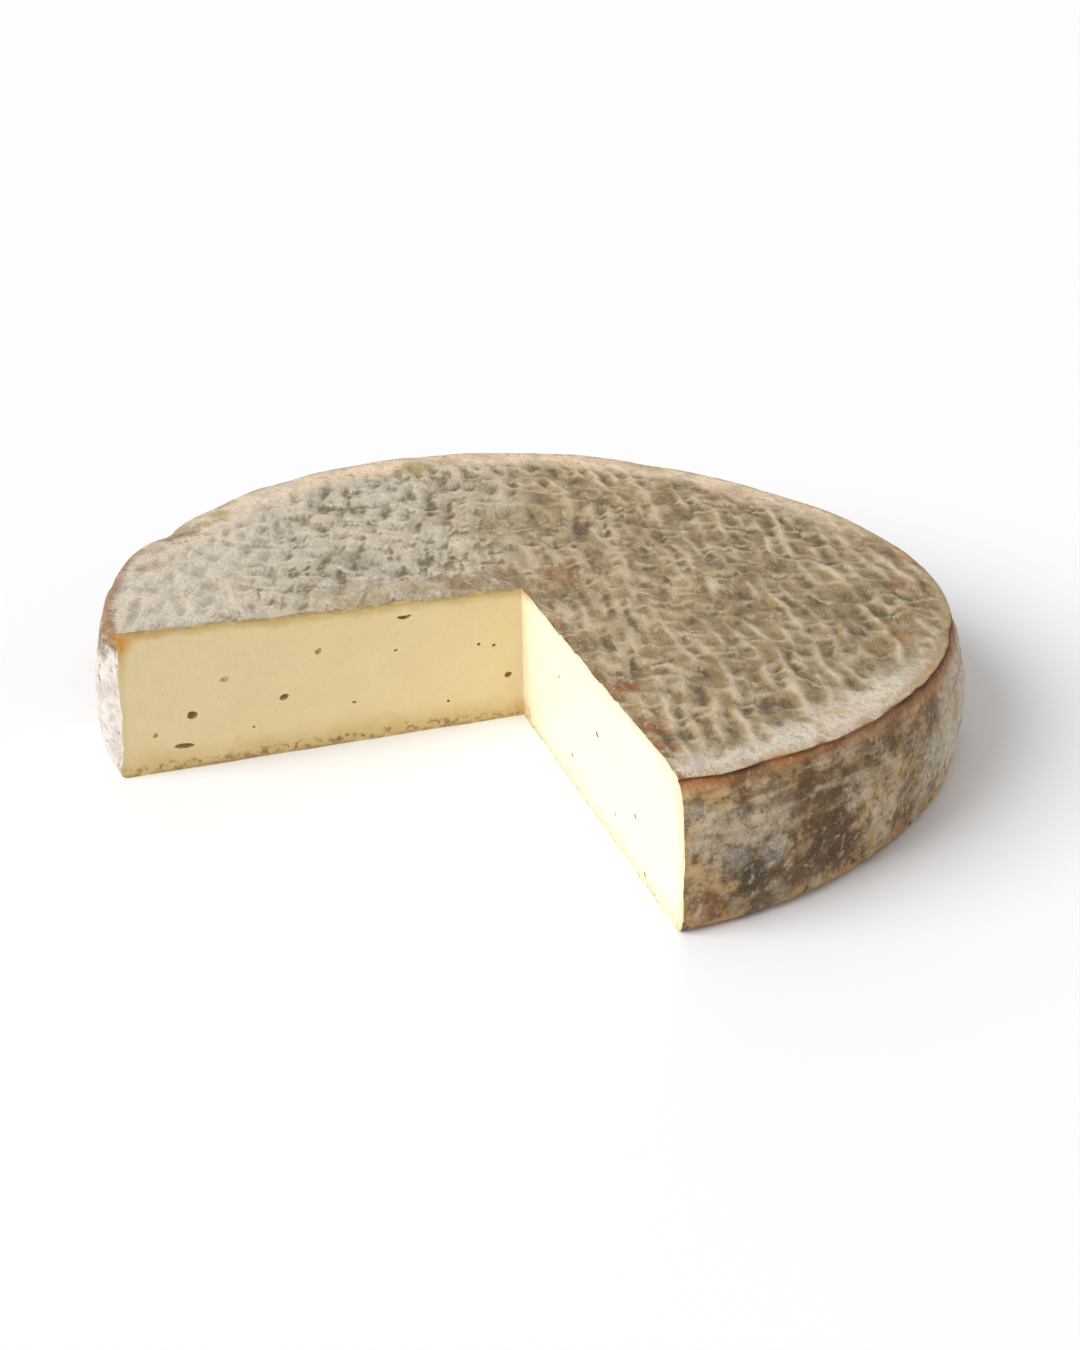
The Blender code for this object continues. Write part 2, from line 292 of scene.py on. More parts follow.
# The wheel with its quarter gone, as one closed mesh: a square sheet loses a corner, its edge is
# drawn down to the base, and each point is then placed on the real, uneven form.
# skin shrinks it all round, overcut moves the knife faces out, relief 0 leaves the print off.
def wheelShape():
    dials = {"cells": 100, "rows": 20, "skin": 0.0, "overcut": 0.0, "relief": 1.0}
    sheet, g = newTree("wheelShape", {**dials, **wheel, **mat, **crust, "skin": 0.0})

    grid = sheet.node("GeometryNodeMeshGrid")
    corners = g["cells"] + 1
    blank = sheet.use(grid, Size_X=2.0, Size_Y=2.0, Vertices_X=corners, Vertices_Y=corners)
    position = Field(sheet, sheet.node("GeometryNodeInputPosition").outputs[0])
    a, b, level = sheet.split(position)
    quarter = sheet.math("GREATER_THAN", a, 0.0) * sheet.math("GREATER_THAN", b, 0.0)
    drop = sheet.node("GeometryNodeDeleteGeometry", domain="FACE")
    blank = sheet.use(drop, Geometry=blank, Selection=quarter)

    # The edge goes down row by row
    rows = sheet.node("GeometryNodeRepeatInput")
    rowsEnd = sheet.node("GeometryNodeRepeatOutput")
    rows.pair_with_output(rowsEnd)
    sheet.feed(rows.inputs["Iterations"], g["rows"])
    sheet.feed(rows.inputs["Geometry"], blank)
    faces = Field(sheet, sheet.node("GeometryNodeInputMeshEdgeNeighbors").outputs[0])
    free = sheet.math("COMPARE", faces, 1.0, 0.1)
    extrude = sheet.node("GeometryNodeExtrudeMesh", mode="EDGES")
    row = sheet.use(extrude, Mesh=Field(sheet, rows.outputs["Geometry"]), Selection=free,
                    Offset=sheet.place(0.0, 0.0, -1.0), Offset_Scale=1.0 / g["rows"])
    sheet.feed(rowsEnd.inputs["Geometry"], row)
    lift = sheet.node("GeometryNodeSetPosition")
    walls = sheet.use(lift, Geometry=Field(sheet, rowsEnd.outputs["Geometry"]), Offset=(0.0, 0.0, 1.0))

    # The base closes it
    rim = sheet.use(sheet.node("GeometryNodeMeshToCurve"), Mesh=walls, Selection=free)
    base = sheet.use(sheet.node("GeometryNodeFillCurve", mode="TRIANGLES"), Curve=rim)
    base = sheet.use(sheet.node("GeometryNodeFlipFaces"), Mesh=base)
    join = sheet.node("GeometryNodeJoinGeometry")
    for part in (base, walls):
        sheet.tree.links.new(part.socket, join.inputs[0])
    merge = sheet.node("GeometryNodeMergeByDistance")
    closed = sheet.use(merge, Geometry=Field(sheet, join.outputs[0]), Distance=0.0001)

    # The square becomes a round sector: turn is the angle, reach the share of the way to the rim
    s = a * sheet.root(1.0 - b * b * 0.5)
    t = b * sheet.root(1.0 - a * a * 0.5)
    reach = sheet.root(s * s + t * t)
    middle = (g["leftFace"] + g["rightFace"]) * 0.5
    halfSweep = (g["leftFace"] - g["rightFace"]) * 0.5
    share = sheet.math("ARCTAN2", s - t, -(s + t)) / math.radians(135)
    turn = middle + share * halfSweep
    ux = sheet.cos(turn)
    uy = sheet.sin(turn)
    away = g["overcut"] / sheet.sin(halfSweep)
    apexX = g["apexX"] - away * sheet.cos(middle)
    apexY = g["apexY"] - away * sheet.sin(middle)

    # The rows lie closest at the lip and at the foot
    spread = sheet.node("ShaderNodeFloatCurve")
    curve = spread.mapping.curves[0]
    for ofRows, ofHeight in ((0.30, 0.105), (0.90, 0.945)):
        curve.points.new(ofRows, ofHeight)
    for point in curve.points:
        point.handle_type = "VECTOR"
    spread.mapping.update()
    level = 1.0 - sheet.use(spread, Value=1.0 - level)

    # Half section; the angle about the axis differs a little from the angle about the apex
    crown = topHeight(sheet, 0.0, 0.0, reach, g)[0]
    z = level * crown
    section = sideRadius(sheet, z, g)
    angle = turn + sheet.math("ARCSINE", (ux * apexY - uy * apexX) / (section * outOfRound(sheet, turn)))
    section = section * outOfRound(sheet, angle)
    plainX = sheet.cos(angle) * section * reach
    plainY = sheet.sin(angle) * section * reach
    lean, swell = topHeight(sheet, plainX, plainY, reach, g)[1:]

    # Lip and groove
    deep = crown - z
    drop, gaping = grooveAt(sheet, plainX, plainY)
    off = (deep - drop) / g["grooveWidth"]
    groove = sheet.math("EXPONENT", -(off * off)) * gaping * g["grooveDepth"]
    lip = sheet.ease(deep, g["grooveDrop"], g["grooveDrop"] * 0.4) * g["lipOut"]
    edge = sheet.most(1.0 - deep / g["lipEdge"], 0.0)
    outward = lip - groove - edge * edge * g["lipEdge"] * 0.8

    # Crust of the side, the pressed-in end, and the print of the mat on the top
    broad, bumps, cracks = crustRelief(sheet, plainX, plainY, z, g)
    amid = sheet.ease(z, 0.0, 0.004) * sheet.ease(deep, 0.0, 0.004)
    outward = outward + (broad * g["dent"] + bumps * g["relief"]) * amid
    belly = sheet.most(sheet.sin(level * math.pi), 0.0) ** 0.7
    far = (angle - g["leftFace"]) / g["pinchWidth"]
    outward = outward - sheet.math("EXPONENT", -(far * far)) * belly * g["pinchDepth"]
    ridges, crosses, pits = matPrint(sheet, plainX, plainY, g)
    printed = ridges * g["ridge"] + crosses * g["cross"] - sheet.ease(pits, 0.0, 0.46) * g["pit"]
    crumbs = sheet.noise(plainX, plainY, 0.0, 0.0024, detail=3.0, rough=0.6, seed=16.0) * g["crumb"]
    printed = (printed * sheet.ease(reach, 0.97, 0.86) + crumbs) * g["relief"]
    rounded = sheet.ease(reach, 0.982, 1.0) * g["lipEdge"] * 0.45
    upward = (printed + swell - rounded) * sheet.ease(level, 0.86, 1.0)

    # The skin over the paste is thicker here and thinner there
    skin = g["skin"] * (1.0 + sheet.noise(plainX, plainY, z, 0.012, detail=1.0, seed=14.0) * 0.6)
    radial = section + outward * sheet.ease(reach, 0.90, 1.0) - skin
    slant = sheet.math("ARCSINE", (ux * apexY - uy * apexX) / radial)
    along = reach * (radial * sheet.cos(slant) - (apexX * ux + apexY * uy))
    z = skin + z * (1.0 - skin * 2.0 / g["height"]) * lean + upward

    # The knife left its faces a little uneven
    onFace = sheet.math("GREATER_THAN", sheet.math("ABSOLUTE", share), 0.9995) * sheet.ease(reach, 0.0, 0.06)
    smear = sheet.noise(along, z * 2.2, share * 0.2, 0.016, detail=2.0, seed=15.0) * g["smear"]
    smear = smear * onFace * sheet.math("SIGN", share)
    x = apexX + along * ux + smear * uy
    y = apexY + along * uy - smear * ux
    move = sheet.node("GeometryNodeSetPosition")
    shaped = sheet.use(move, Geometry=closed, Position=sheet.place(x + g["axisX"], y + g["axisY"], z))
    finishTree(sheet, shaped)
    return sheet.tree


# Which faces lie in the two knife planes
def knifeFaces(sheet):
    x, y, z = sheet.split(Field(sheet, sheet.node("GeometryNodeInputPosition").outputs[0]))
    normal = sheet.split(Field(sheet, sheet.node("GeometryNodeInputNormal").outputs[0]))
    found = 0.0
    for angle, side in ((wheel["leftFace"], 1), (wheel["rightFace"], -1)):
        outX = -math.sin(angle) * side
        outY = math.cos(angle) * side
        gap = (x - wheel["axisX"] - wheel["apexX"]) * outX + (y - wheel["axisY"] - wheel["apexY"]) * outY
        near = sheet.math("COMPARE", gap, 0.0, 0.0004)
        facing = normal[0] * outX + normal[1] * outY
        found = near * sheet.math("GREATER_THAN", facing, 0.94) + found
    return found


def setMaterial(sheet, geometry, material, selection=True):
    return sheet.use(sheet.node("GeometryNodeSetMaterial"), Geometry=geometry, Selection=selection,
                     Material=material)


# Round shading everywhere but over the sharp edges
def shade(sheet, geometry):
    smooth = sheet.node("GeometryNodeSetShadeSmooth", domain="FACE")
    geometry = sheet.use(smooth, Geometry=geometry, Shade_Smooth=True)
    bend = Field(sheet, sheet.node("GeometryNodeInputMeshEdgeAngle").outputs[0])
    sharp = sheet.math("GREATER_THAN", bend, math.radians(50))
    crease = sheet.node("GeometryNodeSetShadeSmooth", domain="EDGE")
    return sheet.use(crease, Geometry=geometry, Selection=sharp, Shade_Smooth=False)


# The outer form and the core under its skin, which runs out past the knife faces
def outerAndCore(sheet, shape):
    made = []
    for values in ({"cells": 220, "rows": 50},
                   {"cells": 100, "rows": 20, "relief": 0.0, "overcut": 0.003, "skin": crust["skin"]}):
        group = sheet.node("GeometryNodeGroup", node_tree=shape)
        made.append(sheet.use(group, **values))
    return made


# The rind is the outer form less the core; its section shows at the knife faces
def rindTree(shape, rindMaterial, sectionMaterial):
    sheet, g = newTree("rindTree", {"rind": rindMaterial, "section": sectionMaterial})
    outer, core = outerAndCore(sheet, shape)
    cut = sheet.node("GeometryNodeMeshBoolean", operation="DIFFERENCE", solver="MANIFOLD")
    shell = shade(sheet, sheet.use(cut, Mesh_1=outer, Mesh_2=core))
    shell = sheet.use(sheet.node("GeometryNodeRealizeInstances"), Geometry=shell)
    shell = setMaterial(sheet, shell, g["rind"])
    finishTree(sheet, setMaterial(sheet, shell, g["section"], knifeFaces(sheet)))
    return sheet.tree


# The paste is what the outer form and the core share, less the holes that the points stand for
def pasteTree(shape, pasteMaterial, holeShadeMaterial):
    sheet, g = newTree("pasteTree", {"paste": pasteMaterial, "hole": holeShadeMaterial}, takesMesh=True)
    meet = sheet.node("GeometryNodeMeshBoolean", operation="INTERSECT", solver="MANIFOLD")
    for part in outerAndCore(sheet, shape):
        sheet.tree.links.new(part.socket, meet.inputs["Mesh 2"])
    body = setMaterial(sheet, Field(sheet, meet.outputs[0]), g["paste"])

    ball = sheet.use(sheet.node("GeometryNodeMeshIcoSphere"), Radius=0.5, Subdivisions=4)
    size = sheet.node("GeometryNodeInputNamedAttribute", data_type="FLOAT_VECTOR")
    size.inputs["Name"].default_value = "size"
    turned = sheet.node("GeometryNodeInputNamedAttribute", data_type="FLOAT_VECTOR")
    turned.inputs["Name"].default_value = "turned"
    turnTo = sheet.use(sheet.node("FunctionNodeEulerToRotation"), Euler=Field(sheet, turned.outputs[0]))
    spread = sheet.node("GeometryNodeInstanceOnPoints")
    holes = sheet.use(spread, Points=g["Geometry"], Instance=ball, Rotation=turnTo,
                      Scale=Field(sheet, size.outputs[0]))
    holes = sheet.use(sheet.node("GeometryNodeRealizeInstances"), Geometry=holes)
    position = Field(sheet, sheet.node("GeometryNodeInputPosition").outputs[0])
    x, y, z = sheet.split(position)
    dent = [sheet.noise(x, y, z, 0.0018, detail=1.0, seed=20.0 + n) * 0.0005 for n in range(3)]
    holes = sheet.use(sheet.node("GeometryNodeSetPosition"), Geometry=holes, Offset=sheet.place(*dent))
    # The hole walls take a darker yellow: painted shade in the holes
    holes = setMaterial(sheet, holes, g["hole"])
    cut = sheet.node("GeometryNodeMeshBoolean", operation="DIFFERENCE", solver="MANIFOLD")
    body = shade(sheet, sheet.use(cut, Mesh_1=body, Mesh_2=holes))
    body = sheet.use(sheet.node("GeometryNodeRealizeInstances"), Geometry=body)
    inHole = sheet.use(sheet.node("GeometryNodeMaterialSelection"), Material=g["hole"])
    finishTree(sheet, setMaterial(sheet, body, g["hole"], inHole))
    return sheet.tree


# Runs a tree and keeps what it makes as a plain mesh on a new object
def grow(name, tree, values, start=None):
    thing = bpy.data.objects.new(name, start or bpy.data.meshes.new(name))
    bpy.context.scene.collection.objects.link(thing)
    maker = thing.modifiers.new(tree.name, "NODES")
    maker.node_group = tree
    for socket in tree.interface.items_tree:
        if socket.in_out == "INPUT" and socket.name in values:
            maker[socket.identifier] = values[socket.name]
    graph = bpy.context.evaluated_depsgraph_get()
    mesh = bpy.data.meshes.new_from_object(thing.evaluated_get(graph))
    thing.modifiers.remove(maker)
    thing.data = mesh
    mesh.name = name
    print(name, len(mesh.vertices), "points,", sum(len(p.vertices) - 2 for p in mesh.polygons), "triangles")
    return thing


# Openings in the paste: which face, mm from the apex, mm high, width, height and depth in mm, tilt
holes = (
    ("left", 87.3, 15.1, 2.7, 2.1, 3.2, 10), ("left", 90.0, 6.7, 5.2, 1.5, 2.8, -6),
    ("left", 63.6, 16.3, 2.3, 1.7, 2.6, 20), ("left", 31.2, 34.0, 3.8, 1.1, 2.2, 4),
    ("left", 4.1, 12.8, 1.9, 1.7, 2.0, 0), ("left", 78.3, 24.0, 2.6, 1.6, 0.45, 15),
    ("left", 97.0, 11.0, 1.5, 1.2, 0.7, 0), ("left", 11.8, 23.0, 1.0, 0.9, 1.2, 0),
    ("left", 7.6, 22.0, 1.0, 1.0, 1.2, 0), ("left", 54.0, 28.0, 2.0, 1.4, 0.8, 30),
    ("left", 34.0, 25.0, 0.9, 0.8, 1.0, 0), ("left", 72.0, 9.0, 0.8, 0.7, 1.0, 0),
    ("left", 45.5, 11.5, 0.9, 0.7, 1.0, 0), ("left", 20.5, 7.5, 0.8, 0.7, 1.0, 0),
    ("right", 38.3, 8.4, 1.6, 1.2, 1.6, 15), ("right", 56.0, 23.5, 1.8, 1.2, 1.4, 30),
    ("right", 81.0, 15.0, 1.8, 1.3, 1.4, 0), ("right", 87.5, 3.0, 1.5, 1.0, 1.2, 0),
    ("right", 29.0, 26.0, 0.9, 0.8, 1.0, 0), ("right", 68.0, 8.0, 0.9, 0.7, 1.0, 0),
)


# A mesh of loose points, one for each opening, with its size and its turn
def holePoints():
    mesh = bpy.data.meshes.new("holePoints")
    spots = []
    sizes = []
    turns = []
    for face, along, high, wide, tall, deep, tilt in holes:
        angle = wheel[face + "Face"]
        spots.append((wheel["axisX"] + wheel["apexX"] + along * 0.001 * math.cos(angle),
                      wheel["axisY"] + wheel["apexY"] + along * 0.001 * math.sin(angle), high * 0.001))
        sizes += [wide * 0.001, deep * 0.002, tall * 0.001]
        turns += [0.0, math.radians(tilt), angle]
    mesh.from_pydata(spots, [], [])
    for name, values in (("size", sizes), ("turned", turns)):
        mesh.attributes.new(name, "FLOAT_VECTOR", "POINT").data.foreach_set("vector", values)
    return mesh


# A colour as it looks on the screen, 0 to 255, made linear
def paint(red, green, blue):
    return tuple((n / 255 / 12.92 if n < 11 else ((n / 255 + 0.055) / 1.055) ** 2.4)
                 for n in (red, green, blue)) + (1.0,)


# A material with one Principled shader: (the material, its sheet, the shader node)
def newMaterial(name, **constants):
    material = bpy.data.materials.new(name)
    material.use_nodes = True
    sheet = Sheet(material.node_tree)
    shader = material.node_tree.nodes["Principled BSDF"]
    for socket, value in constants.items():
        shader.inputs[socket.replace("_", " ")].default_value = value
    return material, sheet, shader


# Where a shaded point lies: (x, y about the axis, z, distance from the axis, angle, share of the way out)
def whereabouts(sheet):
    place = sheet.node("ShaderNodeTexCoord")
    x, y, z = sheet.split(Field(sheet, place.outputs["Object"]))
    x = x - wheel["axisX"]
    y = y - wheel["axisY"]
    far = sheet.root(x * x + y * y)
    angle = sheet.math("ARCTAN2", y, x)
    angle = angle + sheet.math("LESS_THAN", angle, -1.6) * math.tau
    lipAt = outOfRound(sheet, angle) * wheel["lipRadius"]
    return x, y, z, far, angle, far / lipAt


def bump(sheet, shader, height, strength=1.0):
    node = sheet.node("ShaderNodeBump")
    node.inputs["Strength"].default_value = strength
    node.inputs["Distance"].default_value = 1.0
    sheet.feed(shader.inputs["Normal"], sheet.use(node, Height=height))


# The colours of the crust and the paste, as they look in a good even light, but for mossAndShadow, which is
# darkened in part as painted shadow
tones = {
    "pale": paint(196, 187, 167), "lilac": paint(187, 178, 169), "cream": paint(223, 212, 191),
    "tan": paint(178, 155, 114), "mossAndShadow": paint(126, 106, 63), "brown": paint(134, 110, 69),
    "dark": paint(82, 68, 40), "pit": paint(96, 85, 57), "damp": paint(153, 143, 118),
    "ridge": paint(224, 208, 179), "rim": paint(221, 209, 194), "pink": paint(206, 178, 158),
    "mould": paint(198, 197, 172), "farRim": paint(240, 215, 185), "olive": paint(156, 136, 66),
    "rust": paint(146, 88, 42), "orange": paint(202, 138, 80), "ochre": paint(204, 156, 98),
    "crack": paint(80, 52, 28), "sideTan": paint(194, 162, 114), "sideBrown": paint(117, 86, 49),
    "sideGrey": paint(203, 188, 162), "soot": paint(74, 66, 50), "bloom": paint(228, 220, 210),
    "flour": paint(200, 192, 186),
}

# Marks on the top: x and y from the axis in mm, radius in mm, tone, strength
topMarks = (
    (21.5, -57.6, 4.2, "rust", 0.95), (26.0, -76.3, 5.0, "rust", 0.9), (28.5, -86.0, 4.0, "rust", 0.8),
    (-101.5, 30.0, 6.5, "farRim", 0.8), (-96.5, 36.5, 5.0, "pit", 0.95), (-90.0, 44.0, 5.0, "olive", 0.6),
    (-94.9, 39.9, 8.0, "brown", 0.6), (-31.7, 89.2, 7.5, "olive", 0.7), (-24.0, 95.0, 6.0, "olive", 0.6),
    (-86.0, 52.0, 5.5, "olive", 0.6), (-99.0, 14.0, 6.0, "rust", 0.4), (-100.0, 26.0, 5.0, "brown", 0.5),
    (74.3, -27.3, 2.8, "rust", 0.7), (60.0, -12.0, 5.0, "rust", 0.3), (92.0, 30.0, 8.0, "rust", 0.35),
    (98.0, 4.0, 5.5, "rust", 0.5), (97.0, -14.0, 5.0, "rust", 0.5), (91.0, -30.0, 4.0, "orange", 0.45),
    (38.0, 92.0, 8.0, "olive", 0.5), (8.0, 10.0, 9.0, "rust", 0.35), (-9.0, 6.0, 14.0, "brown", 0.65),
    (4.0, -4.0, 6.0, "brown", 0.6), (58.0, 70.0, 9.0, "rust", 0.3), (-48.0, 20.0, 9.0, "pit", 0.35),
    (-43.0, -6.0, 17.0, "tan", 0.5), (-28.0, 2.0, 9.0, "tan", 0.5), (-18.0, 5.0, 11.0, "brown", 0.45),
    (-13.5, 1.0, 4.0, "rust", 0.35), (-22.0, 7.0, 3.5, "rust", 0.25), (-99.0, 33.0, 5.0, "dark", 0.6),
)

# Marks on the side: degrees round the wheel, mm above the foot, radius in mm, tone, strength; the two broad
# pale rim marks at -17 and -4 degrees are partly the crust's grey mould and partly painted light on the side
# turned from the key
sideMarks = (
    (-64, 13.6, 6.5, "soot", 0.95), (-61, 18.0, 5.0, "lilac", 0.5), (-53, 12.7, 6.5, "crack", 0.7),
    (-50, 19.0, 5.5, "sideBrown", 0.8), (-47, 23.0, 5.5, "sideGrey", 0.7), (-44, 15.0, 5.0, "sideGrey", 0.7),
    (-27, 16.7, 10.0, "pale", 0.8), (-25, 3.2, 3.6, "orange", 0.6), (-70, 5.7, 6.0, "rust", 0.6),
    (-62, 3.0, 6.5, "crack", 0.6), (-67, 22.0, 10.0, "lilac", 0.45), (-17, 20.0, 26.0, "rim", 0.85),
    (-4, 16.0, 22.0, "rim", 0.8), (-21, 24.0, 7.0, "sideTan", 0.6), (-12, 9.0, 6.0, "sideTan", 0.6),
    (8, 24.0, 10.0, "sideGrey", 0.7), (-38, 7.0, 7.0, "sideBrown", 0.8), (-50, 8.0, 6.5, "crack", 0.75),
    (-52, 20.0, 3.5, "crack", 0.6), (-30, 28.0, 6.0, "sideBrown", 0.7), (-44, 30.0, 5.0, "sideBrown", 0.6),
    (-68, 12.0, 3.5, "orange", 0.4), (-60, 20.0, 4.0, "sideGrey", 0.5), (-57, 7.0, 5.0, "sideBrown", 0.7),
    (12, 14.0, 9.0, "sideBrown", 0.6), (40, 20.0, 10.0, "sideGrey", 0.6), (75, 12.0, 9.0, "rust", 0.4),
    (110, 18.0, 11.0, "sideGrey", 0.6), (150, 9.0, 9.0, "sideBrown", 0.6), (134, 24.0, 7.0, "orange", 0.35),
)


# A soft patch about a spot, with a ragged edge
def patch(sheet, u, v, spotU, spotV, radius, ragged):
    du = u - spotU * 0.001
    dv = v - spotV * 0.001
    away = sheet.root(du * du + dv * dv) * (1.0 + ragged)
    return sheet.ease(away, radius * 0.001, radius * 0.00035)


# How far under the outer surface a point lies: (below the top, in from the side)
def depthInside(sheet, x, y, z, far, angle, reach):
    crown, lean, swell = topHeight(sheet, x, y, reach, wheel)
    round_ = sideRadius(sheet, z, wheel) * outOfRound(sheet, angle)
    return crown * lean + swell - z, round_ - far


# How far a point is from each knife plane, inwards: (left, right)
def fromKnives(sheet, x, y):
    gaps = []
    for angle, side in ((wheel["leftFace"], 1), (wheel["rightFace"], -1)):
        gap = (x - wheel["apexX"]) * math.sin(angle) - (y - wheel["apexY"]) * math.cos(angle)
        gaps.append(gap * side)
    return gaps


# The stretch of the rim at the right end, where the lip is broken and rusty
def rightEnd(sheet, angle):
    return sheet.ease(angle, -0.95, -0.40) * sheet.ease(angle, 0.65, 0.25)


# How far the white bloom of the left end covers a point of the side
def bloomAt(sheet, z, angle, cloud, mottle):
    along = angle * wheel["radius"] + mottle * 0.016 + cloud * 0.010
    return sheet.ease(along, 0.328, 0.350) * sheet.ease(z + mottle * 0.014, 0.039, 0.029)


# The top: a grey, mouldy left, a brown, printed right, a smoother paler band at the near rim
def topColour(sheet, x, y, z, angle, reach, cloud, mottle, speck):
    ridges, ties, hollows = matPrint(sheet, x, y, mat)
    right = sheet.ease(x + y * 0.08 + cloud * 0.046 + mottle * 0.014, -0.030, 0.010)
    farRight = sheet.ease(x + cloud * 0.02, 0.020, 0.075)
    left = sheet.tint(sheet.ease(cloud, -0.2, 0.3), tones["pale"], tones["lilac"])
    left = sheet.tint(sheet.ease(mottle, 0.02, 0.35) * 0.7, left, tones["cream"])
    left = sheet.tint(sheet.ease(mottle * 0.6 - cloud, 0.12, 0.45) * 0.5, left, tones["pink"])
    brown = sheet.tint(sheet.ease(mottle + cloud * 0.5, -0.35, 0.3), tones["brown"], tones["tan"])
    # The far right of the top goes to a darker moss brown: partly its own colour, partly painted shadow
    brown = sheet.tint(farRight * 0.6, brown, tones["mossAndShadow"])
    top = sheet.tint(right, left, brown)
    shallow = sheet.ease(hollows + speck * 0.10, -0.10, 0.42)
    core = sheet.ease(hollows + speck * 0.16, 0.04, 0.72)
    top = sheet.tint(shallow * 0.75, top, sheet.tint(right, tones["damp"], tones["brown"]))
    top = sheet.tint(core * 0.95, top, sheet.tint(right, tones["pit"], tones["dark"]))
    top = sheet.tint(ties * 0.40, top, tones["ridge"])
    top = sheet.tint(ridges * sheet.mix(right, 0.5, 0.75), top, tones["ridge"])
    wide = sheet.ease(angle, -1.25, -0.80) * sheet.ease(angle, -0.30, -0.60)
    nearRim = sheet.ease(reach + mottle * 0.06 + cloud * 0.03 + speck * 0.02 + wide * 0.035, 0.895, 0.975)
    nearRim = nearRim * sheet.ease(angle + mottle * 0.3, -0.20, -0.66)
    band = sheet.tint(sheet.ease(mottle, 0.0, 0.3) * 0.8, tones["rim"], tones["lilac"])
    band = sheet.tint(sheet.ease(cloud - mottle * 0.6, 0.05, 0.35) * 0.5, band, tones["pink"])
    band = sheet.tint(sheet.ease(cloud + mottle * 0.5, -0.05, -0.3) * 0.5, band, tones["mould"])
    band = sheet.tint(sheet.ease(mottle * 0.8 - speck * 0.5, -0.02, -0.30) * 0.6, band, tones["tan"])
    top = sheet.tint(nearRim * 0.92, top, band)
    farRim = sheet.ease(reach + mottle * 0.07 + cloud * 0.04, 0.850, 0.935)
    farRim = farRim * sheet.ease(angle, 0.15, 0.9) * sheet.ease(angle, 3.1, 2.7)
    farTone = sheet.tint(sheet.ease(mottle, -0.05, 0.3) * 0.7, tones["farRim"], tones["pink"])
    farTone = sheet.tint(sheet.ease(cloud, 0.05, 0.35) * 0.4, farTone, tones["tan"])
    farTone = sheet.tint(sheet.ease(cloud - mottle * 0.7, -0.10, -0.35) * 0.7, farTone, tones["pale"])
    farTone = sheet.tint(sheet.ease(mottle + speck * 0.5, -0.20, -0.42) * 0.5, farTone, tones["brown"])
    top = sheet.tint(farRim * 0.90, top, farTone)
    smooth = sheet.ease(x + mottle * 0.01, -0.060, -0.085)
    top = sheet.tint(smooth * 0.5, top, tones["rim"])
    broken = sheet.ease(speck - mottle * 0.6, -0.50, 0.12)
    for spotX, spotY, radius, tone, strength in topMarks:
        share = patch(sheet, x, y, spotX, spotY, radius, mottle * 1.3 + speck * 0.9)
        top = sheet.tint(share * broken * strength, top, tones[tone])

    # The very edge of the rim is tan and orange in places, broader and browner at both ends
    leftEnd = sheet.ease(angle + mottle * 0.3, 2.80, 3.10)
    ends = sheet.most(leftEnd, rightEnd(sheet, angle))
    rimEdge = sheet.ease(reach + mottle * 0.012 + speck * 0.006 + ends * 0.003, 0.972, 0.994)
    rimEdge = rimEdge * sheet.most(sheet.ease(mottle - cloud * 0.5, -0.25, 0.15), ends * 0.8)
    glowing = sheet.ease(cloud, 0.1, -0.2) * sheet.ease(sheet.math("ABSOLUTE", angle + 0.3), 1.2, 0.7)
    glowing = glowing * sheet.ease(mottle + speck * 0.4, -0.20, 0.30) * 0.85
    edgeTone = sheet.tint(glowing, tones["tan"], tones["orange"])
    endTone = sheet.tint(sheet.ease(mottle, -0.1, 0.3), tones["rust"], tones["brown"])
    edgeTone = sheet.tint(leftEnd, edgeTone, endTone)
    top = sheet.tint(rimEdge * sheet.mix(ends, 0.65, 0.90), top, edgeTone)

    # The crust is darker and torn along the cuts
    fromLeft, fromRight = fromKnives(sheet, x, y)
    torn = sheet.ease(mottle + speck * 0.5, -0.12, 0.22)
    cutLeft = sheet.ease(fromLeft + mottle * 0.003, 0.0030, 0.0004) * sheet.math("LESS_THAN", x, 0.0)
    cutRight = sheet.ease(fromRight + mottle * 0.004, 0.0046, 0.0006) * sheet.math("GREATER_THAN", x, 0.0)
    top = sheet.tint(cutLeft * torn * 0.85, top, tones["brown"])
    return sheet.tint(cutRight * torn * 0.8, top, sheet.tint(torn, tones["dark"], tones["rust"]))


